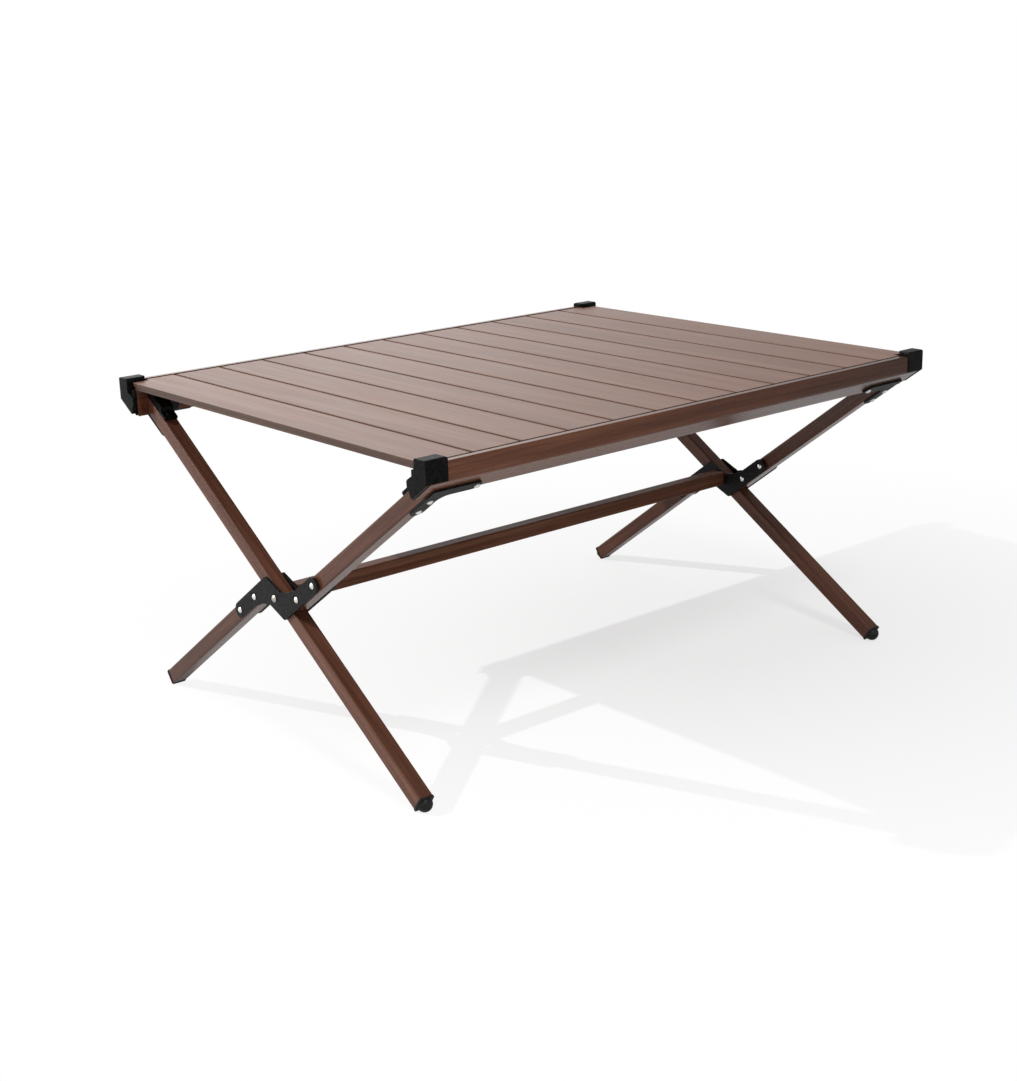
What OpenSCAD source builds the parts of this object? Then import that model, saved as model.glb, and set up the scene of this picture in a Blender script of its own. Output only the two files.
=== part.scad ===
// Folding side table: a slatted top that rolls up, carried by two crossed leg frames.
// X runs along the rails, Y from the front rail to the back rail, Z is up.
// The origin is on the floor below the middle of the top. All sizes are in millimetres.

/* [Top] */
// Distance from one slat to the next
slat_pitch = 75; // [74:0.5:76]
// Gap between two slats
slat_gap = 3.2; // [2.6:0.1:3.4]
// Thickness of a slat
slat_thick = 9.9; // [9:0.1:10]
// Height of the slats' top face above the floor
top_height = 450; // [448:1:454]
// Wall of the hollow slat
slat_wall = 1.4; // [1:0.1:2]
// Black nose of the plug beyond the end of the slat
plug_nose = 3; // [3:0.1:3.4]
// Diameter of the elastic cord that holds the slats together
cord_size = 3; // [2:0.5:4]

/* [Rails] */
// Width of the table over the outer faces of its two rails
table_width = 710; // [706:1:716]
// Width of a rail's flat top
rail_top = 10; // [9:0.5:11]
// Depth of a rail under the slats
rail_depth = 33; // [31:0.5:35]
// Wall of the rail section
rail_wall = 1.8; // [1.4:0.1:2.4]
// Rise of a corner cap above the slats
cap_rise = 6; // [4:0.5:8]
// Width of a corner cap's raised top
cap_width = 22; // [20:0.5:24]
// Length of a corner cap along the rail
cap_length = 32.5; // [28:0.5:36]

/* [Legs] */
// Height of the pivot of the crossed legs
pivot_height = 205.5; // [204:0.5:207]
// Slope of the straight legs
straight_slope = 33.1; // [32.8:0.1:33.4]
// Slope of the split legs
split_slope = 36.4; // [36.1:0.1:36.7]
// Distance of a split leg's two halves from the pivot line
split_offset = 22.05; // [22:0.05:23]
// Outer size of the square leg tube
leg_size = 21.5; // [21:0.1:21.6]
// Wall of the leg tube
leg_wall = 1.5; // [1.2:0.1:2]
// Rounding of the leg tube's edges
leg_round = 2; // [1.5:0.5:3]
// Distance of a leg's middle from the middle of the table, at the pivot
leg_reach = 428.4; // [427:0.2:430]
// Outward lean of the legs towards the feet, in the plane of their frame
leg_splay = 1.15; // [0.8:0.05:1.4]

/* [Fittings] */
// Thickness of a hub plate
hub_thick = 3.2; // [2.6:0.1:3.6]
// Length of a hub arm from the pivot to its outer rivet
hub_arm = 92.5; // [86:0.5:98]
// Diameter of the pivot pin
pin_size = 8; // [7:0.5:9]
// Diameter of a rivet's head
rivet_head = 8.5; // [8:0.5:10]
// Thickness of a gusset plate
gusset_thick = 3; // [2.5:0.25:3.5]
// Length of a gusset along the rail
gusset_reach = 75; // [66:1:84]
// Radius of the domed glide under a foot
glide_radius = 10.5; // [10:0.1:11]

/* [Hidden] */
$fn = 48;
slat_count = 12;
slat_width = slat_pitch - slat_gap;
slat_bottom = top_height - slat_thick;
shelf_height = slat_bottom - 0.1;
rail_outer = table_width / 2;
rail_step = rail_outer - rail_top;
rail_inner = rail_outer - rail_depth;
rail_height = top_height + 0.4;
slat_end = rail_step - 2.6 - plug_nose;
cord_line = slat_end - 40;
table_half = slat_count * slat_pitch / 2;
slat_edge = table_half - slat_gap / 2;
rail_half = slat_edge - 0.4;
cap_joint = 0.05;
cap_end = slat_edge + 7.6;
cap_proud = 1.2;
cap_inner = rail_outer + cap_proud - cap_width;
plate_gap = 1.5;
plate_in = leg_size / 2 + plate_gap;
hub_inner_rivet = hub_arm / 2;
half_start = 26.5;
rivet_shank = 5;
rivet_seat = 0.6;
pivot_head = 1.15;
leg_foot_face = 10.2;
foot_flange = 2.5;
stretcher_lift = 3;
stretcher_half = leg_reach - plate_in - hub_thick - 0.5;
rail_rivet_x = 363;
corner_x = leg_reach - 355 * tan(leg_splay);

// Height of a leg's lower face at a given distance from the middle of the table
function straight_under(y) = pivot_height + y * tan(straight_slope) - leg_size / 2 / cos(straight_slope);
function split_under(y) =
    pivot_height + y * tan(split_slope) - (split_offset + leg_size / 2) / cos(split_slope);

// Position along a leg, from the pivot, of the outer face of its foot
straight_foot = -(pivot_height - leg_foot_face) / sin(straight_slope);
split_foot = -(pivot_height - leg_foot_face + split_offset * cos(split_slope)) / sin(split_slope);

// Position along a leg, from the pivot, where its lower face meets the rail's inner face
straight_rail = (rail_inner - leg_size / 2 * sin(straight_slope)) / cos(straight_slope);
split_rail = (rail_inner - (split_offset + leg_size / 2) * sin(split_slope)) / cos(split_slope);

WOOD = [0.42, 0.29, 0.23];
WOOD_TOP = [0.66, 0.57, 0.53];
BLACK = [0.10, 0.10, 0.11];
SILVER = [0.80, 0.80, 0.80];

// Plain shapes

module rounded_square(w, h, r) {
    square([w - 2 * r, h], center = true);
    square([w, h - 2 * r], center = true);
    for (sx = [-1, 1], sy = [-1, 1])
        translate([sx * (w / 2 - r), sy * (h / 2 - r)])
            circle(r);
}

module tube_section() {
    difference() {
        rounded_square(leg_size, leg_size, leg_round);
        rounded_square(leg_size - 2 * leg_wall, leg_size - 2 * leg_wall, leg_round - leg_wall + 0.5);
    }
}

// Cuts a round edge into the corner at the origin whose body lies towards -X and -Y
module round_corner(r) {
    difference() {
        translate([-r, -r])
            square(r + 1);
        translate([-r, -r])
            circle(r);
    }
}

module both_sides() {
    children();
    mirror([1, 0, 0])
        children();
}

module both_ends() {
    children();
    mirror([0, 1, 0])
        children();
}

// Frames of reference: Y runs up along the leg from the pivot, Z is square to the frame

module straight_frame() {
    translate([0, 0, pivot_height])
        rotate([straight_slope, 0, 0])
            children();
}

module split_frame() {
    translate([0, 0, pivot_height])
        mirror([0, 1, 0])
            rotate([split_slope, 0, 0])
                children();
}

// The left leg's own line, leaning outwards towards the foot
module leg_line() {
    translate([-leg_reach, 0, 0])
        rotate([0, 0, -leg_splay])
            children();
}

// Turns an outline drawn in the plane of the crossed legs so that it is extruded along X
module side_on() {
    rotate([90, 0, 90])
        children();
}

module leg_tube(from, to, offset) {
    translate([0, from, offset])
        rotate([-90, 0, 0])
            linear_extrude(to - from)
                tube_section();
}

module cross_hole(d, along, offset) {
    translate([0, along, offset])
        rotate([0, 90, 0])
            cylinder(d = d, h = 60, center = true);
}

// Slats

module slat_outline() {
    difference() {
        union() {
            translate([-slat_width / 2, slat_bottom + slat_thick / 2])
                square([slat_width, slat_thick / 2]);
            translate([-slat_width / 2 + 1, slat_bottom])
                square([slat_width - 2, slat_thick / 2 + 0.1]);
        }
        for (side = [0, 1])
            mirror([side, 0])
                translate([slat_width / 2, top_height])
                    round_corner(0.5);
    }
}

// One of the slat's two hollows, shrunk by a clearance for the plug's peg
module slat_hollow(clearance) {
    left = slat_wall / 2 + clearance;
    right = slat_width / 2 - 1 - slat_wall - clearance;
    low = slat_bottom + slat_wall + clearance;
    high = top_height - slat_wall - clearance;
    translate([left, low])
        square([right - left, high - low]);
}

// Which end of the table a slat lies at: -1 left, 1 right, 0 in between
function table_end(i) = i == 1 ? -1 : i == slat_count ? 1 : 0;

// Everything between the leaning planes that end the full width of an end slat.
// They lean away from the caps below, so that the slat clears them as the frame starts to fold.
module full_width(spare) {
    gap_above = 3.6;
    gap_below = 9.2;
    high = cap_inner - gap_above + 0.5 + spare;
    low = cap_inner - gap_below - 0.5 + spare;
    translate([-slat_pitch, 0, 0])
        side_on()
            linear_extrude(2 * slat_pitch)
                polygon([
                    [-low, slat_bottom - 1],
                    [low, slat_bottom - 1],
                    [high, top_height + 1],
                    [-high, top_height + 1]
                ]);
}

// Strip of an end slat that lies between the caps, and the room beside it in which they stand
module cap_strip(end) {
    width = cap_length - cap_end + slat_edge + 1.5;
    mirror([end > 0 ? 1 : 0, 0, 0])
        translate([-slat_width / 2 - 1, -rail_outer, slat_bottom - 1])
            cube([width + 1, table_width, slat_thick + 2]);
}

module cap_room(end) {
    difference() {
        cap_strip(end);
        full_width(0);
    }
}

// Holes for the two cords, closed towards the end of the table
module cord_holes(end) {
    reach = slat_pitch / 2 - 6;
    from = end < 0 ? -reach : -slat_pitch / 2;
    to = end > 0 ? reach : slat_pitch / 2;
    for (side = [-1, 1])
        translate([from, side * cord_line, slat_bottom + slat_thick / 2])
            rotate([0, 90, 0])
                cylinder(d = cord_size + 0.4, h = to - from);
}

module slat_length(i) {
    difference() {
        rotate([90, 0, 0])
            linear_extrude(2 * slat_end, center = true)
                difference() {
                    slat_outline();
                    slat_hollow(0);
                    mirror([1, 0])
                        slat_hollow(0);
                }
        cord_holes(table_end(i));
    }
}

// An end slat has a full-width length and a tongue at either end of it, pegged on by the plugs
module slat(i) {
    color(WOOD_TOP)
        translate([-table_half + (i - 0.5) * slat_pitch, 0, 0])
            if (table_end(i) == 0)
                slat_length(i);
            else {
                intersection() {
                    slat_length(i);
                    full_width(0);
                }
                difference() {
                    slat_length(i);
                    cap_strip(table_end(i));
                    full_width(cap_joint);
                }
            }
}

// The nose tapers below, so that it clears the rail's flat top as the frame starts to fold
module slat_plug(peg) {
    half = slat_width / 2 - 0.6;
    translate([-half, 0, 0])
        side_on()
            linear_extrude(2 * half)
                polygon([
                    [slat_end, slat_bottom + 0.4],
                    [slat_end + plug_nose, top_height - 1],
                    [slat_end + plug_nose, top_height - 0.2],
                    [slat_end, top_height - 0.2]
                ]);
    both_sides()
        translate([0, slat_end + 0.5, 0])
            rotate([90, 0, 0])
                linear_extrude(peg)
                    slat_hollow(0.15);
}

// The end slats' plugs have long pegs, which also close the room for the caps
module slat_plugs(i) {
    short_peg = 7;
    long_peg = 30;
    color(BLACK)
        translate([-table_half + (i - 0.5) * slat_pitch, 0, 0])
            if (table_end(i) == 0)
                both_ends()
                    slat_plug(short_peg);
            else
                difference() {
                    both_ends()
                        slat_plug(long_peg);
                    cap_room(table_end(i));
                }
}

module slat_cords(i) {
    reach = slat_pitch / 2 - 0.05;
    short = slat_pitch / 2 - 8;
    from = table_end(i) < 0 ? -short : -reach;
    to = table_end(i) > 0 ? short : reach;
    color(BLACK)
        translate([-table_half + (i - 0.5) * slat_pitch, 0, slat_bottom + slat_thick / 2])
            for (side = [-1, 1])
                translate([from, side * cord_line, 0])
                    rotate([0, 90, 0])
                        cylinder(d = cord_size, h = to - from);
}

// Rails and their caps

// Section with a level top and a lower face along the slope, drawn in by the given inset
module rail_section(from, to, top, low, slope, inset) {
    left = from + inset;
    right = to - inset;
    under = low + inset / cos(slope);
    polygon([
        [right, top - inset],
        [left, top - inset],
        [left, under + (left - rail_inner) * tan(slope)],
        [right, under + (right - rail_inner) * tan(slope)]
    ]);
}

// Outer tube of a rail: its flat top and its outer face
module rail_tube_section(low, slope, inset) {
    rail_section(rail_step, rail_outer, rail_height, low, slope, inset);
}

// Inner ledge of a rail, on which the slats lie
module rail_ledge_section(low, slope, inset) {
    rail_section(rail_inner, rail_step, shelf_height, low, slope, inset);
}

// Cuts a round edge where a rail's outer face meets its slanted lower face
module round_foot(low, slope, r) {
    foot = low + rail_depth * tan(slope);
    reach = r / tan(45 + slope / 2);
    difference() {
        polygon([
            [rail_outer + 1, foot + reach],
            [rail_outer - r, foot + reach],
            [rail_outer - reach * cos(slope), foot - reach * sin(slope)],
            [rail_outer - reach * cos(slope) + sin(slope), foot - reach * sin(slope) - cos(slope)],
            [rail_outer + 1, foot - 1]
        ]);
        translate([rail_outer - r, foot + reach])
            circle(r);
    }
}

module rail_tube(low, slope) {
    translate([-rail_half, 0, 0])
        side_on()
            linear_extrude(2 * rail_half)
                difference() {
                    rail_tube_section(low, slope, 0);
                    rail_tube_section(low, slope, rail_wall);
                    translate([rail_outer, rail_height])
                        round_corner(2.5);
                    round_foot(low, slope, 7);
                }
}

module rail_ledge(low, slope) {
    translate([-rail_half, 0, 0])
        side_on()
            linear_extrude(2 * rail_half)
                difference() {
                    rail_ledge_section(low, slope, 0);
                    rail_ledge_section(low, slope, rail_wall);
                }
}

// Cap for the left end of the back rail, in three mouldings: end wall, sleeve and ledge plug
module rail_cap(low, slope) {
    wall = 4.5;
    soft = 3;
    corner = 9;
    tip = 5.5;
    lobe = 2;
    lobe_low = 19;
    lobe_high = 26;
    peg_fit = rail_wall + 0.2;
    peg_length = 15;
    top = top_height + cap_rise;
    outer = rail_outer + cap_proud;
    foot = low + rail_depth * tan(slope);
    shoulder = -cap_end + wall + cap_joint;
    // End wall, with a lobe below the slat
    translate([-cap_end, 0, 0])
        side_on()
            linear_extrude(wall)
                difference() {
                    polygon([
                        [cap_inner, top],
                        [outer, top],
                        [outer, foot + 0.9],
                        [rail_inner + tip + 1, low + (tip + 1) * tan(slope) + 0.2],
                        [rail_inner + tip - 1, low + (tip - 1) * tan(slope) + 1],
                        [rail_inner - lobe, low + lobe_low],
                        [rail_inner - lobe, low + lobe_high],
                        [cap_inner, shelf_height - 3]
                    ]);
                    translate([outer, top])
                        round_corner(soft);
                    translate([cap_inner, top])
                        mirror([1, 0])
                            round_corner(soft);
                }
    // Shoulder of the sleeve, between the end wall and the end of the rail's tube
    translate([shoulder, 0, 0])
        side_on()
            linear_extrude(-rail_half - shoulder)
                rail_tube_section(low + 1, slope, 0);
    // Sleeve over the rail's top and outer face, with a block on the ledge.
    // Its far top edge is rounded, and so is the block's free corner.
    difference() {
        translate([shoulder, 0, 0])
            side_on()
                linear_extrude(cap_length - wall - cap_joint)
                    difference() {
                        polygon([
                            [cap_inner, top],
                            [outer, top],
                            [outer, foot + 0.6],
                            [rail_outer, foot + 0.2],
                            [rail_outer, rail_height],
                            [rail_step - 0.1, rail_height],
                            [rail_step - 0.1, shelf_height + 0.3],
                            [cap_inner, shelf_height + 0.3]
                        ]);
                        translate([outer, top])
                            round_corner(soft);
                        translate([cap_inner, top])
                            mirror([1, 0])
                                round_corner(soft);
                        translate([rail_outer - 2.7, rail_height - 2.7])
                            square(2.7);
                    }
        translate([-cap_end + cap_length, cap_inner - 20, top])
            rotate([-90, 0, 0])
                linear_extrude(60)
                    mirror([0, 1])
                        round_corner(2.5);
        translate([-cap_end + cap_length, cap_inner, shelf_height - 1])
            linear_extrude(top)
                mirror([0, 1])
                    round_corner(corner);
    }
    translate([-rail_half - 1, 0, 0])
        side_on()
            linear_extrude(peg_length)
                rail_tube_section(low, slope, peg_fit);
    // Ledge plug
    translate([shoulder, 0, 0])
        side_on()
            linear_extrude(-rail_half - shoulder)
                rail_section(rail_inner + 1, rail_step - cap_joint, shelf_height - 0.3, low + 1, slope, 0);
    translate([-rail_half - 1, 0, 0])
        side_on()
            linear_extrude(peg_length)
                rail_ledge_section(low, slope, peg_fit);
}

// Gusset, top block and rivets for the left corner, on the frame's own plane

// The gusset's outline: one arm along the rail, one along the leg, with a hollow between them
module gusset_outline(rail_line) {
    arm = leg_size - 1;
    bend = 14;
    translate([-corner_x - arm / 2, rail_line - 38])
        square([arm, 58]);
    translate([-corner_x, rail_line - 38])
        circle(d = arm);
    translate([-corner_x - arm / 2, rail_line + 1])
        square([gusset_reach - 9.5, 19]);
    translate([-corner_x - arm / 2 + gusset_reach - 9.5, rail_line + 10.5])
        circle(d = 19);
    difference() {
        translate([-corner_x + arm / 2 - 0.1, rail_line + 1 - bend])
            square(bend + 0.1);
        translate([-corner_x + arm / 2 + bend, rail_line + 1 - bend])
            circle(bend);
    }
}

// Places of the rivets in a gusset: two on the leg, one on the rail
function gusset_rivets(rail_line) = [
    [-corner_x - 0.8, rail_line - 36],
    [-corner_x, rail_line - 9],
    [-rail_rivet_x, rail_line + 10.5]
];

module gusset(rail_line, face) {
    translate([0, 0, face - gusset_thick])
        difference() {
            linear_extrude(gusset_thick)
                gusset_outline(rail_line);
            for (p = gusset_rivets(rail_line))
                translate([p[0], p[1], -1])
                    cylinder(d = rivet_shank + 0.1, h = gusset_thick + 2);
        }
}

module gusset_holes(rail_line, face) {
    for (p = gusset_rivets(rail_line))
        translate([p[0], p[1], face - 1])
            cylinder(d = rivet_shank + 0.1, h = 8);
}

// Domed head that sits on the plane Z = 0 and points up
module rivet_dome() {
    flat = 0.8;
    dome = 2;
    r = rivet_head / 2;
    ball = (r * r + dome * dome) / 2 / dome;
    cylinder(r = r, h = flat);
    intersection() {
        translate([0, 0, flat + dome - ball])
            sphere(ball);
        translate([0, 0, flat])
            cylinder(r = r, h = dome + 1);
    }
}

module gusset_rivet_set(rail_line, face) {
    for (p = gusset_rivets(rail_line))
        translate([p[0], p[1], face - gusset_thick]) {
            mirror([0, 0, 1])
                rivet_dome();
            cylinder(d = rivet_shank, h = gusset_thick + 5);
        }
}

// Moulded block in the corner between the leg's upper face and the rail's inner face
module top_block(rail_line, face) {
    w = leg_size - 1;
    high = 11;
    low = 4.5;
    wing = 20;
    wing_drop = 12;
    // Tall part at the rail, stepping down to a pad on the leg
    translate([-corner_x - w / 2, 0, face])
        side_on()
            linear_extrude(w)
                polygon([
                    [rail_line - 38, 0],
                    [rail_line - 38, low - 1],
                    [rail_line - 36, low],
                    [rail_line - 25, low],
                    [rail_line - 21, high],
                    [rail_line + 60, high],
                    [rail_line + 60, 0]
                ]);
    // Screw boss on the pad
    translate([-corner_x - 0.3, rail_line - 31, face + 1])
        cylinder(d = 9, h = low + 1.5);
    // Wing along the rail on the inner side of the leg
    translate([-corner_x + w / 2 - 1, rail_line - 9, face - wing_drop])
        cube([wing, 60, wing_drop + high]);
}

module rail_side_cut() {
    translate([-600, rail_inner - 0.05, 300])
        cube([1200, 300, 300]);
    translate([-600, 0, shelf_height - 2])
        cube([1200, 600, 200]);
}

// Feet: a plug in the tube, a thin flange and a domed glide
module foot(along, offset) {
    size = leg_size + 1.6;
    plug = leg_size - 2 * leg_wall - 0.3;
    translate([0, along, offset])
        rotate([-90, 0, 0]) {
            linear_extrude(foot_flange)
                rounded_square(size, size, leg_round + 1);
            linear_extrude(20)
                rounded_square(plug, plug, leg_round);
            difference() {
                sphere(glide_radius);
                translate([-20, -20, 1])
                    cube(40);
            }
        }
}

// Everything below the floor, seen from a leg frame of the given slope
module below_floor(slope) {
    rotate([-slope, 0, 0])
        translate([-100, -600, -pivot_height - 100])
            cube([200, 1200, 100]);
}

// Hubs

// Z-shaped plate: an arm along each half of the split leg and a stop corner over the straight leg
module hub_outline() {
    low = 11;
    wide = 22.2;
    difference() {
        union() {
            for (turn = [0, 180])
                rotate(turn) {
                    translate([-hub_arm, low])
                        square([hub_arm - 4, wide]);
                    translate([-hub_arm, low + wide / 2])
                        circle(d = wide);
                }
            polygon([
                [-4, low + wide],
                [-1.5, low + wide - 0.8],
                [0, low + wide - 3],
                [17, 1],
                [50, -low],
                [4, -low - wide],
                [1.5, -low - wide + 0.8],
                [0, -low - wide + 3],
                [-17, -1],
                [-50, low]
            ]);
        }
        for (turn = [0, 180])
            rotate(turn)
                translate([42, 20])
                    circle(28);
    }
}

// Pads that fill the play between a plate and the two halves of the split leg
module hub_pads() {
    wide = leg_size - 1;
    for (turn = [0, 180])
        rotate(turn) {
            translate([-hub_arm, split_offset - wide / 2])
                square([hub_arm - half_start - 1, wide]);
            translate([-hub_arm, split_offset])
                circle(d = wide);
        }
}

module hub_rivet_places() {
    for (place = [hub_inner_rivet, hub_arm], way = [-1, 1])
        translate([0, way * place, -way * split_offset])
            rotate([0, 90, 0])
                children();
}

// Plate on the outer side of the left legs; side is -1 outside and 1 inside
module hub_plate(side) {
    face = side * plate_in;
    difference() {
        leg_line()
            difference() {
                union() {
                    translate([side < 0 ? face - hub_thick : face, 0, 0])
                        side_on()
                            linear_extrude(hub_thick)
                                hub_outline();
                    translate([side < 0 ? face - 0.1 : face - plate_gap, 0, 0])
                        side_on()
                            linear_extrude(plate_gap + 0.1)
                                hub_pads();
                    translate([side < 0 ? face - 0.1 : face - 0.6, 0, 0])
                        side_on()
                            linear_extrude(0.7)
                                circle(6);
                }
                hub_rivet_places() {
                    cylinder(d = rivet_shank + 0.1, h = 60, center = true);
                    translate([0, 0, side < 0 ? face - hub_thick - 1 : face + hub_thick - rivet_seat])
                        cylinder(d = rivet_head + 3.4, h = 1 + rivet_seat);
                }
            }
        translate([-leg_reach, 0, 0])
            cross_hole(pin_size + 0.1, 0, 0);
    }
}

// Rectangular spigot on the inner plate that carries the end of the stretcher
module stretcher_spigot() {
    size = leg_size - 2 * leg_wall - 0.3;
    translate([-stretcher_half - 0.4, 0, 0])
        side_on()
            linear_extrude(16)
                difference() {
                    translate([0, stretcher_lift])
                        rounded_square(size, size, 1.6);
                    circle(7);
                }
}

module hub_rivet() {
    reach = plate_in + hub_thick - rivet_seat;
    cylinder(d = rivet_shank, h = 2 * reach, center = true);
    for (turn = [0, 180])
        rotate([turn, 0, 0])
            translate([0, 0, reach])
                rivet_dome();
}

module pivot_pin() {
    reach = plate_in + hub_thick + 0.15;
    translate([-leg_reach, 0, 0])
        rotate([0, 90, 0]) {
            cylinder(d = pin_size, h = 2 * reach, center = true);
            for (turn = [0, 180])
                rotate([turn, 0, 0])
                    translate([0, 0, reach])
                        scale(pivot_head)
                            rivet_dome();
        }
}

// Nodes of the straight frame, which carries the back rail

module back_rail() {
    color(WOOD)
        rail_tube(straight_under(rail_inner), straight_slope);
}

module back_ledge() {
    color(WOOD)
        difference() {
            rail_ledge(straight_under(rail_inner), straight_slope);
            straight_frame()
                both_sides()
                    gusset_holes(straight_rail, -leg_size / 2);
        }
}

module back_caps() {
    color(BLACK)
        both_sides()
            rail_cap(straight_under(rail_inner), straight_slope);
}

module straight_leg() {
    difference() {
        straight_frame()
            difference() {
                leg_line()
                    leg_tube(straight_foot + foot_flange, straight_rail + 40, 0);
                translate([-leg_reach, 0, 0])
                    cross_hole(pin_size + 0.1, 0, 0);
                gusset_holes(straight_rail, -leg_size / 2);
            }
        rail_side_cut();
    }
}

module straight_leg_left() {
    color(WOOD)
        straight_leg();
}

module straight_leg_right() {
    color(WOOD)
        mirror([1, 0, 0])
            straight_leg();
}

module back_gussets() {
    color(BLACK)
        straight_frame()
            both_sides()
                gusset(straight_rail, -leg_size / 2);
}

module back_blocks() {
    color(BLACK)
        both_sides()
            difference() {
                straight_frame()
                    difference() {
                        top_block(straight_rail, leg_size / 2);
                        leg_line()
                            translate([-leg_size / 2, 0, -leg_size / 2])
                                cube([leg_size, 500, leg_size]);
                    }
                rail_side_cut();
            }
}

module straight_feet() {
    color(BLACK)
        both_sides()
            straight_frame()
                difference() {
                    leg_line()
                        foot(straight_foot, 0);
                    translate([-leg_reach, 0, 0])
                        below_floor(straight_slope);
                }
}

module straight_rivets() {
    color(SILVER)
        straight_frame()
            both_sides()
                gusset_rivet_set(straight_rail, -leg_size / 2);
}

// Nodes of the split frame, which carries the front rail, the hubs and the stretcher

module front_rail() {
    color(WOOD)
        mirror([0, 1, 0])
            rail_tube(split_under(rail_inner), split_slope);
}

module front_ledge() {
    color(WOOD)
        difference() {
            mirror([0, 1, 0])
                rail_ledge(split_under(rail_inner), split_slope);
            split_frame()
                both_sides()
                    gusset_holes(split_rail, -split_offset - leg_size / 2);
        }
}

module front_caps() {
    color(BLACK)
        mirror([0, 1, 0])
            both_sides()
                rail_cap(split_under(rail_inner), split_slope);
}

module split_upper() {
    difference() {
        split_frame()
            difference() {
                leg_line()
                    difference() {
                        leg_tube(half_start, split_rail + 40, -split_offset);
                        hub_rivet_places()
                            cylinder(d = rivet_shank + 0.1, h = 60, center = true);
                    }
                gusset_holes(split_rail, -split_offset - leg_size / 2);
            }
        mirror([0, 1, 0])
            rail_side_cut();
    }
}

module split_lower() {
    split_frame()
        leg_line()
            difference() {
                leg_tube(split_foot + foot_flange, -half_start, split_offset);
                hub_rivet_places()
                    cylinder(d = rivet_shank + 0.1, h = 60, center = true);
            }
}

module split_upper_left() {
    color(WOOD)
        split_upper();
}

module split_upper_right() {
    color(WOOD)
        mirror([1, 0, 0])
            split_upper();
}

module split_lower_left() {
    color(WOOD)
        split_lower();
}

module split_lower_right() {
    color(WOOD)
        mirror([1, 0, 0])
            split_lower();
}

module front_gussets() {
    color(BLACK)
        split_frame()
            both_sides()
                gusset(split_rail, -split_offset - leg_size / 2);
}

module front_blocks() {
    color(BLACK)
        both_sides()
            difference() {
                split_frame()
                    difference() {
                        top_block(split_rail, -split_offset + leg_size / 2);
                        leg_line()
                            translate([-leg_size / 2, 0, -split_offset - leg_size / 2])
                                cube([leg_size, 500, leg_size]);
                    }
                mirror([0, 1, 0])
                    rail_side_cut();
            }
}

module split_feet() {
    color(BLACK)
        both_sides()
            split_frame()
                difference() {
                    leg_line()
                        foot(split_foot, split_offset);
                    translate([-leg_reach, 0, 0])
                        below_floor(split_slope);
                }
}

module hub_outer_plates() {
    color(BLACK)
        split_frame()
            both_sides()
                hub_plate(-1);
}

module hub_inner_plates() {
    color(BLACK)
        both_sides() {
            split_frame()
                hub_plate(1);
            translate([0, 0, pivot_height])
                stretcher_spigot();
        }
}

module stretcher() {
    color(WOOD)
        translate([-stretcher_half, 0, pivot_height + stretcher_lift])
            side_on()
                linear_extrude(2 * stretcher_half)
                    tube_section();
}

module pivot_pins() {
    color(SILVER)
        split_frame()
            both_sides()
                pivot_pin();
}

module split_rivets() {
    color(SILVER)
        split_frame()
            both_sides() {
                gusset_rivet_set(split_rail, -split_offset - leg_size / 2);
                leg_line()
                    hub_rivet_places()
                        hub_rivet();
            }
}

// Name of one of the numbered nodes, such as slat_03
function numbered(stem, i) = str(stem, i < 10 ? "0" : "", i);

for (i = [1 : slat_count]) {
    slat(i);
    slat_plugs(i);
    slat_cords(i);
}
back_rail();
back_ledge();
back_caps();
straight_leg_left();
straight_leg_right();
back_gussets();
back_blocks();
straight_feet();
straight_rivets();
front_rail();
front_ledge();
front_caps();
split_upper_left();
split_upper_right();
split_lower_left();
split_lower_right();
front_gussets();
front_blocks();
split_feet();
hub_outer_plates();
hub_inner_plates();
stretcher();
pivot_pins();
split_rivets();
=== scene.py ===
"""Looks of the folding side table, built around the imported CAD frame. All sizes are in metres."""

import math

import bmesh
import bpy
from mathutils import Matrix, Vector


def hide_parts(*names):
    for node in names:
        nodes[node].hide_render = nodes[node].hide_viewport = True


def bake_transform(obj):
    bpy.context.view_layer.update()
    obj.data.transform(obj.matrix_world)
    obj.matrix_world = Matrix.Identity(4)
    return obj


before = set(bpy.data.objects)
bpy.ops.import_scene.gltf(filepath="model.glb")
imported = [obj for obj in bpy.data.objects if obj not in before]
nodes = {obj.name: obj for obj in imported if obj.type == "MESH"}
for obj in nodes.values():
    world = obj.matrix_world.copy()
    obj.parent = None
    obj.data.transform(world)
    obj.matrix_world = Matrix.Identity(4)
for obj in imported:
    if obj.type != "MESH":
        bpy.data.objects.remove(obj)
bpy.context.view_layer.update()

# Sizes repeated from the CAD model
SLAT_COUNT = 12
SLAT_PITCH = 0.075
TABLE_HALF = SLAT_COUNT * SLAT_PITCH / 2
STRAIGHT_SLOPE = math.radians(33.1)
SPLIT_SLOPE = math.radians(36.4)
CORD_LINE = 0.2994
CORD_HEIGHT = 0.44505
CORD_RADIUS = 0.0015
CORD_STOP = 0.0295

# Camera, fitted to the slat joints, legs, feet and hub of the photograph
CAMERA_PLACE = Vector((-1.57215, -1.82704, 0.91630))
CAMERA_AZIMUTH = math.radians(-40.012)
CAMERA_ELEVATION = math.radians(16.754)
CAMERA_ROLL = math.radians(-1.571)
FOCAL_PIXELS = 1698.67
PHOTO_HEIGHT = 1081
SENSOR_MM = 36.0

# Lamps, placed where the two shadows in the photograph say that they stood
LAMP_AIM = Vector((0.0, 0.0, 0.30))
KEY_PLACE = Vector((-2.74, 2.27, 2.94))
KEY_SIZE = 0.05
KEY_POWER = 150.0
FRONT_PLACE = Vector((-0.80, -1.95, 2.80))
FRONT_SIZE = 0.65
FRONT_POWER = 34.0

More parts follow.
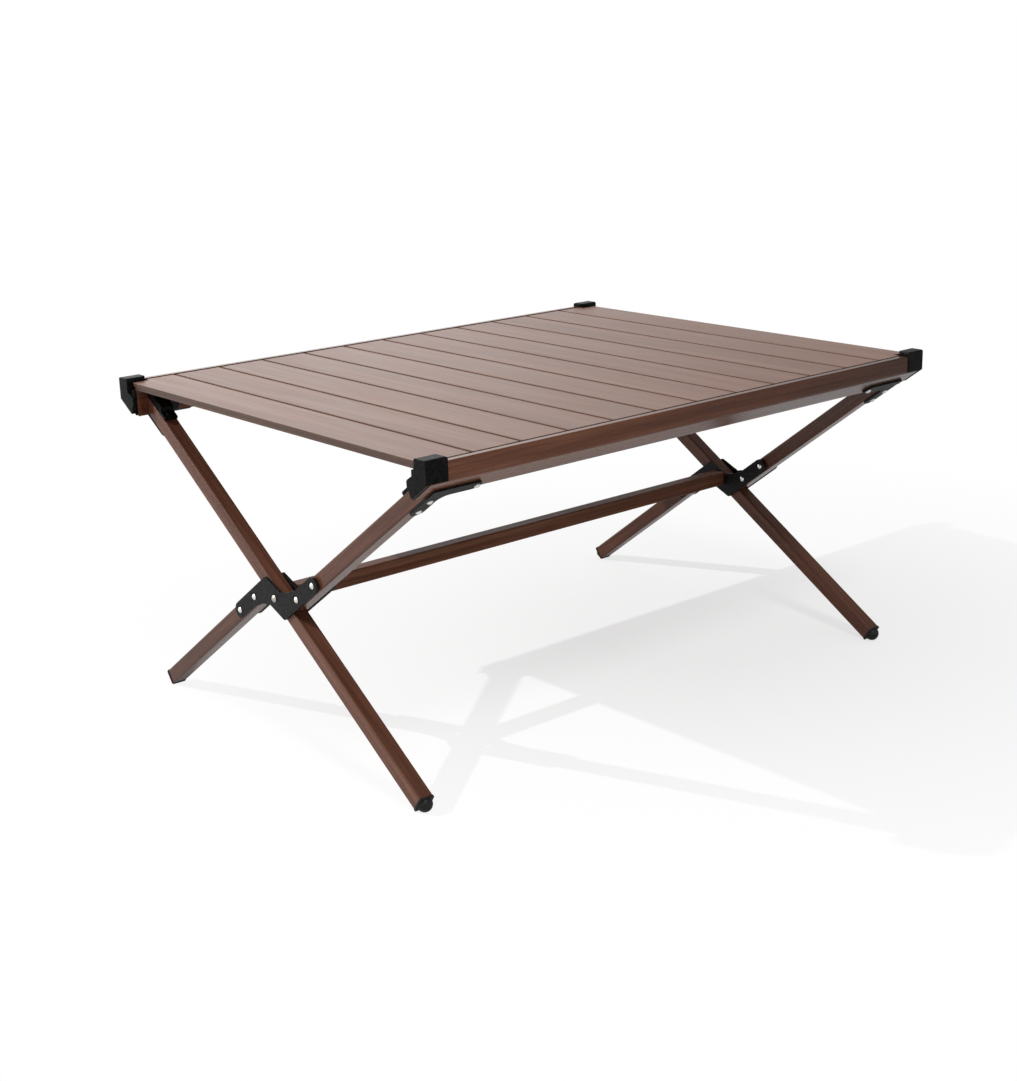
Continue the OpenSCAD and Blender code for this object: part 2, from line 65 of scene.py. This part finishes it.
# Fill light of the studio: its level, and how much it grows towards +X and upwards
FILL_LEVEL = 0.20
FILL_TILT = 0.05
FILL_RISE = 0.20

# Backdrops that gloss mirrors: the way to each, and two values of the cosine to it with the level at each
BACKDROP_WAY = (-0.30, 0.905, 0.30)
BACKDROP_FADE = (0.2, 0.47, 0.35, 0.95)
BACKDROP_GLOW = (0.47, 0.60, 0.0, 0.9)
FRONT_WAY = (-0.6, -0.8, 0.0)
FRONT_FADE = (-0.3, 0.3, 0.0, 0.9)

# Floor: two distances from the middle of the shadow with the share of plain white at each
FLOOR_SIZE = 400.0
FLOOR_MIDDLE = (0.32, -0.06, 0.0)
FLOOR_WHITE = (0.20, 1.10, 0.67, 1.0)

# How much of that share gloss mirrors
FLOOR_MIRROR = 0.4
WHITE = (1.0, 1.0, 1.0, 1.0)

# Two values between which most of a noise lies
NOISE_SPAN = (0.3, 0.7)


def srgb(red, green, blue):
    """A colour in 8-bit display values as the linear colour that a shader takes."""
    def linear(value):
        value = value / 255
        return value / 12.92 if value <= 0.04045 else ((value + 0.055) / 1.055) ** 2.4

    return (linear(red), linear(green), linear(blue), 1.0)


def tones(*colours):
    """Shader colours, from the darkest to the lightest."""
    return [srgb(*colour) for colour in colours]


class Shader:
    """A node tree, with short calls to add nodes and join them."""

    def __init__(self, name):
        self.material = bpy.data.materials.new(name)
        self.material.use_nodes = True
        self.tree = self.material.node_tree
        self.tree.nodes.clear()

    @classmethod
    def of_tree(cls, tree):
        """The same calls for a tree that belongs to no material."""
        shader = cls.__new__(cls)
        shader.tree = tree
        tree.nodes.clear()
        return shader

    def set(self, socket, value):
        """Joins an input to another node's output, or gives it a plain value."""
        if isinstance(value, bpy.types.NodeSocket):
            self.tree.links.new(value, socket)
        else:
            socket.default_value = value

    def add(self, kind, inputs=None, **settings):
        """A new node with its settings and inputs."""
        node = self.tree.nodes.new("ShaderNode" + kind)
        for key, value in settings.items():
            setattr(node, key, value)
        for key, value in (inputs or {}).items():
            self.set(node.inputs[key], value)
        return node

    def coordinate(self, kind):
        return self.add("TexCoord").outputs[kind]

    def parts(self, vector):
        return self.add("SeparateXYZ", {"Vector": vector}).outputs

    def math(self, operation, first, second=0.0):
        return self.add("Math", {0: first, 1: second}, operation=operation).outputs[0]

    def vector_math(self, operation, first, second, output="Vector"):
        return self.add("VectorMath", {0: first, 1: second}, operation=operation).outputs[output]

    def scaled(self, vector, factor):
        node = self.add("VectorMath", {0: vector, "Scale": factor}, operation="SCALE")
        return node.outputs["Vector"]

    def weighted(self, *pairs):
        """Sum of values, each times its weight."""
        total = 0.0
        for value, weight in pairs:
            total = self.math("ADD", total, self.math("MULTIPLY", value, weight))
        return total

    def mapped(self, value, from_low, from_high, to_low, to_high):
        """A value moved from one range to another and kept inside it."""
        inputs = {"Value": value, "From Min": from_low, "From Max": from_high,
                  "To Min": to_low, "To Max": to_high}
        return self.add("MapRange", inputs).outputs["Result"]

    def around(self, noise, middle, spread):
        """A setting that follows a noise, a little to either side of its middle."""
        return self.mapped(noise, *NOISE_SPAN, middle - spread, middle + spread)

    def noise(self, vector, scale, detail=2.0, roughness=0.5, distortion=0.0):
        inputs = {"Vector": vector, "Scale": scale, "Detail": detail,
                  "Roughness": roughness, "Distortion": distortion}
        return self.add("TexNoise", inputs).outputs["Fac"]

    def stretched_noise(self, vector, stretch, **settings):
        """A noise that changes at a different rate along each axis."""
        place = self.add("Mapping", {"Vector": vector, "Scale": stretch}).outputs["Vector"]
        return self.noise(place, 1.0, **settings)

    def ramp(self, value, places, colours):
        """Colours that lie at places along a value."""
        node = self.add("ValToRGB", {"Fac": value})
        elements = node.color_ramp.elements
        while len(elements) < len(places):
            elements.new(0.5)
        for element, place, colour in zip(elements, places, colours):
            element.position = place
            element.color = colour
        return node.outputs["Color"]

    def rounded(self, radius):
        """Normal that rounds off sharp edges, as a film or a moulding does."""
        return self.add("Bevel", {"Radius": radius}, samples=6).outputs["Normal"]

    def bump(self, height, strength, distance, normal):
        inputs = {"Height": height, "Strength": strength, "Distance": distance, "Normal": normal}
        return self.add("Bump", inputs).outputs["Normal"]

    def surface(self, **inputs):
        """Finishes the material with these inputs of its shader."""
        words = {key.replace("_", " "): value for key, value in inputs.items()}
        shader = self.add("BsdfPrincipled", words)
        self.add("OutputMaterial", {"Surface": shader.outputs["BSDF"]})
        return self.material


# Layers of grain in the wood film: how often each changes in a metre, along the piece and across it
FIGURE = {"stretch": (2.0, 46.0, 46.0), "detail": 4.0, "distortion": 0.7}
STREAKS = {"stretch": (6.0, 230.0, 230.0), "detail": 3.0, "roughness": 0.55}
PORES = {"stretch": (34.0, 1300.0, 1300.0)}

# Share of each layer in the film's colour, and where the film's three tones lie
FIGURE_SHARE = 0.44
STREAK_SHARE = 0.38
PORE_SHARE = 0.18
FILM_PLACES = (0.34, 0.50, 0.66)

# Share of each layer in the pressed grain, and the strength and depth of that
PORE_HEIGHT = 0.7
STREAK_HEIGHT = 0.5
GRAIN_BUMP = (0.22, 0.00025)

# Roughness of the film
SATIN = 0.39
SATIN_SPREAD = 0.05

# How far the grain jumps from one slat to the next
SLAT_JUMP = (0.37, 1.713, 0.591)

# Slats near a joint: the distances over which a painted shade along the joint fades out, and the tone of
# that painted shade and the roughness at the joint
EDGE_DARK = 0.0020
EDGE_FADE = 0.0095
JOINT_PAINTED_SHADE = 0.90
EDGE_ROUGHNESS = 0.62

# Sides of the slats: the tone of a painted shade on their upright faces, and the upward part of the
# normal between side and top
SIDE_PAINTED_SHADE = 0.45
SIDE_FACING = (0.3, 0.8)


def slat_place(shader, place):
    """Coordinates that jump from slat to slat, so that no two have the same grain."""
    from_end = shader.math("ADD", shader.parts(place)["X"], TABLE_HALF)
    number = shader.math("FLOOR", shader.math("DIVIDE", from_end, SLAT_PITCH))
    return shader.vector_math("ADD", place, shader.scaled(SLAT_JUMP, number))


def joint_distance(shader):
    """How far a point of the top is from the nearest joint between two slats."""
    across = shader.parts(shader.coordinate("Object"))["X"]
    half = SLAT_PITCH / 2
    from_line = shader.math("PINGPONG", shader.math("ADD", across, TABLE_HALF), half)
    from_end = shader.math("SUBTRACT", shader.math("ABSOLUTE", across), TABLE_HALF - half)
    return shader.math("MAXIMUM", from_line, from_end)


def wood_film(name, turn, shift, colours, gloss, rounding, by_slat=False, dullness=SATIN, painted_falloff=None):
    """Satin walnut film on aluminium: long figure, narrower streaks, and fine pores pressed into it.

    Its grain runs along X after the turn. On the slats it is duller at the joints and darker there, a
    painted shade along each joint, and darker on the upright sides, a painted shade by which way a face
    points. The last argument gives two places along X and the tone at each: a painted shade of light
    falling off along the piece.
    """
    shader = Shader(name)
    place = shader.coordinate("Object")
    if by_slat:
        place = slat_place(shader, place)
    inputs = {"Vector": place, "Rotation": turn, "Location": shift}
    place = shader.add("Mapping", inputs).outputs["Vector"]
    figure = shader.stretched_noise(place, **FIGURE)
    streaks = shader.stretched_noise(place, **STREAKS)
    pores = shader.stretched_noise(place, **PORES)
    blend = shader.weighted((figure, FIGURE_SHARE), (streaks, STREAK_SHARE), (pores, PORE_SHARE))
    colour = shader.ramp(blend, FILM_PLACES, colours)
    roughness = shader.around(streaks, dullness, SATIN_SPREAD)
    # Painted shade: the colour darkens along X, as if less light reached that end.
    if painted_falloff:
        along = shader.parts(shader.coordinate("Object"))["X"]
        colour = shader.scaled(colour, shader.mapped(along, *painted_falloff))
    if by_slat:
        # Painted shade along the joints: the colour darkens within a few millimetres of each gap, and the
        # roughness rises there.
        clear = shader.mapped(joint_distance(shader), EDGE_DARK, EDGE_FADE, 0.0, 1.0)
        joint_shade = shader.mapped(clear, 0.0, 1.0, JOINT_PAINTED_SHADE, 1.0)
        # Painted shade: the upright faces of the slats, found by their normal, are darker than the top.
        facing = shader.math("ABSOLUTE", shader.parts(shader.coordinate("Normal"))["Z"])
        side = shader.mapped(facing, *SIDE_FACING, SIDE_PAINTED_SHADE, 1.0)
        colour = shader.scaled(colour, shader.math("MULTIPLY", joint_shade, side))
        edge_roughness = shader.mapped(clear, 0.0, 1.0, EDGE_ROUGHNESS, 0.0)
        roughness = shader.math("MAXIMUM", roughness, edge_roughness)
    height = shader.weighted((pores, PORE_HEIGHT), (streaks, STREAK_HEIGHT))
    return shader.surface(
        Base_Color=colour,
        Roughness=roughness,
        IOR=gloss,
        Normal=shader.bump(height, *GRAIN_BUMP, shader.rounded(rounding)),
    )


# Moulded plastic: fine texture with its strength and depth, and patches with the places of two tones
TEXTURE = {"detail": 3.0, "roughness": 0.6}
TEXTURE_BUMP = (0.35, 0.0003)
TEXTURE_SPREAD = 0.06
PATCHES = {"scale": 240.0, "detail": 3.0}
PATCH_PLACES = (0.35, 0.65)

# Steel: fine marks with their strength and depth
MARKS = {"stretch": (900.0, 2600.0, 900.0)}
MARK_BUMP = (0.12, 0.0001)
MARK_SPREAD = 0.07
METAL_ROUNDING = 0.0002

# Cover of the cords: threads with their strength and depth
THREADS = {"scale": 2500.0}
THREAD_BUMP = (0.4, 0.0002)
COVER_ROUGHNESS = 0.85
COVER_ROUNDING = 0.0001


def moulded_plastic(name, colours, grain, roughness, gloss, rounding):
    """Moulded plastic with a fine spark-eroded texture and a little dust-like unevenness."""
    shader = Shader(name)
    place = shader.coordinate("Object")
    texture = shader.noise(place, grain, **TEXTURE)
    patches = shader.noise(place, **PATCHES)
    return shader.surface(
        Base_Color=shader.ramp(patches, PATCH_PLACES, colours),
        Roughness=shader.around(texture, roughness, TEXTURE_SPREAD),
        Specular_IOR_Level=gloss,
        Normal=shader.bump(texture, *TEXTURE_BUMP, shader.rounded(rounding)),
    )


def bright_metal(name, colours, roughness):
    """Tumbled steel with fine marks."""
    shader = Shader(name)
    marks = shader.stretched_noise(shader.coordinate("Object"), **MARKS)
    return shader.surface(
        Base_Color=shader.ramp(marks, NOISE_SPAN, colours),
        Metallic=1.0,
        Roughness=shader.around(marks, roughness, MARK_SPREAD),
        Normal=shader.bump(marks, *MARK_BUMP, shader.rounded(METAL_ROUNDING)),
    )


def braided_cover(name, colours):
    """Black braided cover of an elastic cord."""
    shader = Shader(name)
    threads = shader.noise(shader.coordinate("Object"), **THREADS)
    return shader.surface(
        Base_Color=shader.ramp(threads, NOISE_SPAN, colours),
        Roughness=COVER_ROUGHNESS,
        Normal=shader.bump(threads, *THREAD_BUMP, shader.rounded(COVER_ROUNDING)),
    )


def along_leg(slope):
    """Turn that brings a leg's length, which climbs towards the back by this slope, onto X."""
    turn = Matrix.Rotation(math.radians(-90), 4, "Z") @ Matrix.Rotation(-slope, 4, "X")
    return tuple(turn.to_euler("XYZ"))


def dress(material, names):
    """Gives CAD nodes their material."""
    for name in names:
        slots = nodes[name].data.materials
        slots.clear()
        slots.append(material)


def numbered(stem):
    """Names of the nodes of one kind, one for each slat."""
    return [f"{stem}_{i:02d}" for i in range(1, SLAT_COUNT + 1)]


# Turns that bring the length of each kind of piece onto X
ALONG_X = (0.0, 0.0, 0.0)
ALONG_Y = (0.0, 0.0, math.radians(-90))
ALONG_STRAIGHT_LEG = along_leg(STRAIGHT_SLOPE)
ALONG_SPLIT_LEG = along_leg(-SPLIT_SLOPE)

# Tones of the films. The pieces wear one walnut film, and their tones differ from piece to piece as
# painted light and shade, each piece lighter or darker by how light falls on it
SLAT_TONES = tones((90, 57, 42), (108, 73, 55), (126, 90, 71))
RAIL_TONES = tones((69, 36, 21), (92, 53, 35), (113, 72, 50))
STRETCHER_TONES = tones((80, 48, 32), (106, 69, 51), (130, 93, 71))
STRAIGHT_TONES = tones((71, 41, 29), (94, 59, 45), (115, 77, 60))
UPPER_TONES = tones((60, 30, 17), (81, 46, 30), (100, 62, 43))
LOWER_TONES = tones((53, 26, 14), (72, 40, 25), (89, 55, 37))

# Index of refraction of the films
SLAT_GLOSS = 1.36
RAIL_GLOSS = 1.28
STRETCHER_GLOSS = 1.15
STRAIGHT_GLOSS = 1.28
UPPER_GLOSS = 1.33
LOWER_GLOSS = 1.30

# Rounding of the edges under the films
SLAT_ROUNDING = 0.0003
RAIL_ROUNDING = 0.0012
STRETCHER_ROUNDING = 0.0040
LEG_ROUNDING = 0.0022

# Roughness of the films that are smoother than satin
RAIL_SMOOTH = 0.24
UPPER_SMOOTH = 0.26
LOWER_SMOOTH = 0.28

# Front rail: a painted shade, its colour getting darker to the right as the light falls off: two places
# along X and the tone at each
FRONT_PAINTED_FALLOFF = (-0.15, 0.42, 1.05, 0.50)

# Films on the slats, rails and tubes, each with its grain shifted
dress(wood_film("slat_film", ALONG_Y, (0.0, 0.0, 0.0), SLAT_TONES, SLAT_GLOSS, SLAT_ROUNDING,
                by_slat=True),
      numbered("slat"))
dress(wood_film("front_rail_film", ALONG_X, (0.3, 0.1, 0.7), RAIL_TONES, RAIL_GLOSS, RAIL_ROUNDING,
                dullness=RAIL_SMOOTH, painted_falloff=FRONT_PAINTED_FALLOFF),
      ["front_rail", "front_ledge"])
dress(wood_film("back_rail_film", ALONG_X, (1.9, 0.8, 0.4), RAIL_TONES, RAIL_GLOSS, RAIL_ROUNDING,
                dullness=RAIL_SMOOTH),
      ["back_rail", "back_ledge"])
dress(wood_film("stretcher_film", ALONG_X, (2.1, 0.5, 0.2), STRETCHER_TONES, STRETCHER_GLOSS,
                STRETCHER_ROUNDING),
      ["stretcher"])
dress(wood_film("straight_leg_film", ALONG_STRAIGHT_LEG, (1.3, 0.4, 0.9), STRAIGHT_TONES, STRAIGHT_GLOSS,
                LEG_ROUNDING),
      ["straight_leg_left", "straight_leg_right"])
dress(wood_film("split_upper_film", ALONG_SPLIT_LEG, (0.6, 2.4, 0.1), UPPER_TONES, UPPER_GLOSS,
                LEG_ROUNDING, dullness=UPPER_SMOOTH),
      ["split_upper_left", "split_upper_right"])
dress(wood_film("split_lower_film", ALONG_SPLIT_LEG, (0.6, 2.4, 0.1), LOWER_TONES, LOWER_GLOSS,
                LEG_ROUNDING, dullness=LOWER_SMOOTH),
      ["split_lower_left", "split_lower_right"])

# Plastic and metal fittings
dress(moulded_plastic("cap_plastic", tones((3, 3, 3), (21, 20, 20)), grain=700.0, roughness=0.42,
                      gloss=0.05, rounding=0.0016),
      ["front_caps", "back_caps", "front_blocks", "back_blocks"])
dress(moulded_plastic("hub_plastic", tones((12, 12, 12), (30, 30, 30)), grain=900.0, roughness=0.50,
                      gloss=0.09, rounding=0.0008),
      ["hub_outer_plates", "hub_inner_plates"])
dress(moulded_plastic("gusset_plastic", tones((13, 13, 13), (32, 32, 32)), grain=900.0, roughness=0.50,
                      gloss=0.08, rounding=0.0006),
      ["front_gussets", "back_gussets"])
dress(moulded_plastic("foot_plastic", tones((13, 13, 13), (20, 19, 19)), grain=500.0, roughness=0.50,
                      gloss=0.20, rounding=0.0006),
      ["straight_feet", "split_feet"])
dress(moulded_plastic("plug_plastic", tones((44, 27, 19), (58, 38, 28)), grain=1300.0, roughness=0.75,
                      gloss=0.04, rounding=0.0003),
      numbered("slat_plugs"))
dress(bright_metal("rivet_metal", tones((190, 189, 187), (222, 221, 219)), roughness=0.27),
      ["straight_rivets", "split_rivets"])
dress(bright_metal("pin_metal", tones((150, 143, 134), (182, 175, 166)), roughness=0.42),
      ["pivot_pins"])
cord_cover = braided_cover("cord_cover", tones((16, 15, 15), (42, 40, 39)))

# Elastic cords: the half length of a bend, and the rings that a cord is made of
RING_STEP = 0.0015
RING_SIDES = 12

# Plait of a cord, which is drawn in so that its strands stay within the cord's size
CORD_DRAWN = 0.95
PLAIT_DEPTH = 0.05
PLAIT_STRANDS = 4
PLAIT_TURN = 1900.0

# Knot near the end of a cord
KNOT_INSET = 0.003
KNOT_SWELL = 0.0011
KNOT_LENGTH = 0.0016


def cord_ring(mesh, x, middle, swell):
    """One ring of a plaited cord, round the point at x along it."""
    ring = []
    for j in range(RING_SIDES):
        angle = 2 * math.pi * j / RING_SIDES
        turn = PLAIT_STRANDS * angle
        crossing = math.cos(turn + PLAIT_TURN * x) * math.cos(turn - PLAIT_TURN * x)
        radius = CORD_RADIUS * (1.0 + PLAIT_DEPTH * crossing) * CORD_DRAWN + swell
        place = (x, middle + radius * math.cos(angle), CORD_HEIGHT + radius * math.sin(angle))
        ring.append(mesh.verts.new(place))
    return ring


def cord_mesh(name, from_x, to_x, knot_at):
    """Two plaited cords along X, one near each end of the slats, with knots where they stop."""
    steps = max(int((to_x - from_x) / RING_STEP), 2)
    mesh = bmesh.new()
    for side in (-1.0, 1.0):
        rings = []
        for i in range(steps + 1):
            x = from_x + (to_x - from_x) * i / steps
            swell = 0.0
            if knot_at is not None:
                swell = KNOT_SWELL * math.exp(-((x - knot_at) / KNOT_LENGTH) ** 2)
            rings.append(cord_ring(mesh, x, side * CORD_LINE, swell))
        for first, second in zip(rings, rings[1:]):
            for j in range(RING_SIDES):
                k = (j + 1) % RING_SIDES
                mesh.faces.new((first[j], first[k], second[k], second[j]))
        mesh.faces.new(list(reversed(rings[0])))
        mesh.faces.new(rings[-1])
    bmesh.ops.recalc_face_normals(mesh, faces=mesh.faces)
    data = bpy.data.meshes.new(name)
    mesh.to_mesh(data)
    mesh.free()
    for face in data.polygons:
        face.use_smooth = True
    data.materials.append(cord_cover)
    piece = bpy.data.objects.new(name, data)
    bpy.context.scene.collection.objects.link(piece)
    return piece


def make_cords():
    """One piece over each gap, from the middle of one slat to the middle of the next.

    The first and the last piece also run on to where the cords stop inside the end slats.
    """
    for k in range(1, SLAT_COUNT):
        gap = -TABLE_HALF + k * SLAT_PITCH
        first = k == 1
        last = k == SLAT_COUNT - 1
        from_x = gap - SLAT_PITCH / 2 - (CORD_STOP if first else 0.0)
        to_x = gap + SLAT_PITCH / 2 + (CORD_STOP if last else 0.0)
        knot_at = None
        if first:
            knot_at = from_x + KNOT_INSET
        if last:
            knot_at = to_x - KNOT_INSET
        piece = cord_mesh(f"cords_{k:02d}", from_x, to_x, knot_at)
        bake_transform(piece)
        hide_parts(f"slat_cords_{k:02d}")
        if last:
            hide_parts(f"slat_cords_{SLAT_COUNT:02d}")


def make_floor():
    """White floor that keeps the shadow. Only the camera and gloss see its share of plain white."""
    shader = Shader("floor_white")
    place = shader.coordinate("Object")
    distance = shader.vector_math("DISTANCE", place, FLOOR_MIDDLE, "Value")
    path = shader.add("LightPath").outputs
    mirrored = shader.math("MULTIPLY", path["Is Glossy Ray"], FLOOR_MIRROR)
    seen = shader.math("MAXIMUM", path["Is Camera Ray"], mirrored)
    share = shader.math("MULTIPLY", shader.mapped(distance, *FLOOR_WHITE), seen)
    matt = shader.add("BsdfDiffuse", {"Color": WHITE}).outputs["BSDF"]
    plain = shader.add("Emission", {"Color": WHITE, "Strength": 1.0}).outputs["Emission"]
    mix = shader.add("MixShader", {"Fac": share, 1: matt, 2: plain}).outputs["Shader"]
    shader.add("OutputMaterial", {"Surface": mix})
    bpy.ops.mesh.primitive_plane_add(size=FLOOR_SIZE, location=(0.0, 0.0, 0.0))
    floor = bpy.context.object
    floor.name = "floor"
    floor.data.materials.append(shader.material)


def make_world():
    """White studio: a fill that grows upwards, and for gloss two backdrops, behind and in front."""
    world = bpy.data.worlds.new("studio")
    bpy.context.scene.world = world
    world.use_nodes = True
    shader = Shader.of_tree(world.node_tree)
    path = shader.add("LightPath").outputs
    way = shader.coordinate("Generated")
    behind = shader.vector_math("DOT_PRODUCT", way, BACKDROP_WAY, "Value")
    front = shader.vector_math("DOT_PRODUCT", way, FRONT_WAY, "Value")
    fade = shader.mapped(behind, *BACKDROP_FADE)
    glow = shader.mapped(behind, *BACKDROP_GLOW)
    front_fade = shader.mapped(front, *FRONT_FADE)
    mirrored = shader.math("ADD", shader.math("ADD", fade, glow), front_fade)
    height = shader.math("MAXIMUM", shader.parts(way)["Z"], 0.0)
    slope = shader.weighted((shader.parts(way)["X"], FILL_TILT), (height, FILL_RISE))
    fill = shader.math("ADD", slope, FILL_LEVEL)
    level = shader.add("Mix", {"Factor": path["Is Glossy Ray"], "A": fill, "B": mirrored})
    level = shader.math("MAXIMUM", level.outputs["Result"], path["Is Camera Ray"])
    white = shader.add("Background", {"Color": WHITE, "Strength": level})
    shader.add("OutputWorld", {"Surface": white.outputs["Background"]})


def make_lamp(name, place, size, power):
    """Round area lamp that points at the table."""
    data = bpy.data.lights.new(name, "AREA")
    data.shape = "DISK"
    data.size = size
    data.energy = power
    lamp = bpy.data.objects.new(name, data)
    bpy.context.scene.collection.objects.link(lamp)
    lamp.location = place
    lamp.rotation_euler = (place - LAMP_AIM).to_track_quat("Z", "Y").to_euler()


def make_camera():
    """Camera at the photograph's place, turned by azimuth and elevation and then rolled."""
    forward = Vector((
        -math.sin(CAMERA_AZIMUTH) * math.cos(CAMERA_ELEVATION),
        math.cos(CAMERA_AZIMUTH) * math.cos(CAMERA_ELEVATION),
        -math.sin(CAMERA_ELEVATION),
    ))
    level = forward.cross(Vector((0.0, 0.0, 1.0))).normalized()
    upright = level.cross(forward)
    right = math.cos(CAMERA_ROLL) * level + math.sin(CAMERA_ROLL) * upright
    up = -math.sin(CAMERA_ROLL) * level + math.cos(CAMERA_ROLL) * upright
    data = bpy.data.cameras.new("camera")
    data.sensor_fit = "VERTICAL"
    data.sensor_height = SENSOR_MM
    data.lens = FOCAL_PIXELS * SENSOR_MM / PHOTO_HEIGHT
    camera = bpy.data.objects.new("camera", data)
    turn = Matrix((right, up, -forward)).transposed()
    camera.matrix_world = Matrix.Translation(CAMERA_PLACE) @ turn.to_4x4()
    bpy.context.scene.collection.objects.link(camera)
    bpy.context.scene.camera = camera


make_cords()
make_floor()
make_world()
make_lamp("key", KEY_PLACE, KEY_SIZE, KEY_POWER)
make_lamp("front", FRONT_PLACE, FRONT_SIZE, FRONT_POWER)
make_camera()
bpy.context.scene.view_settings.view_transform = "Standard"
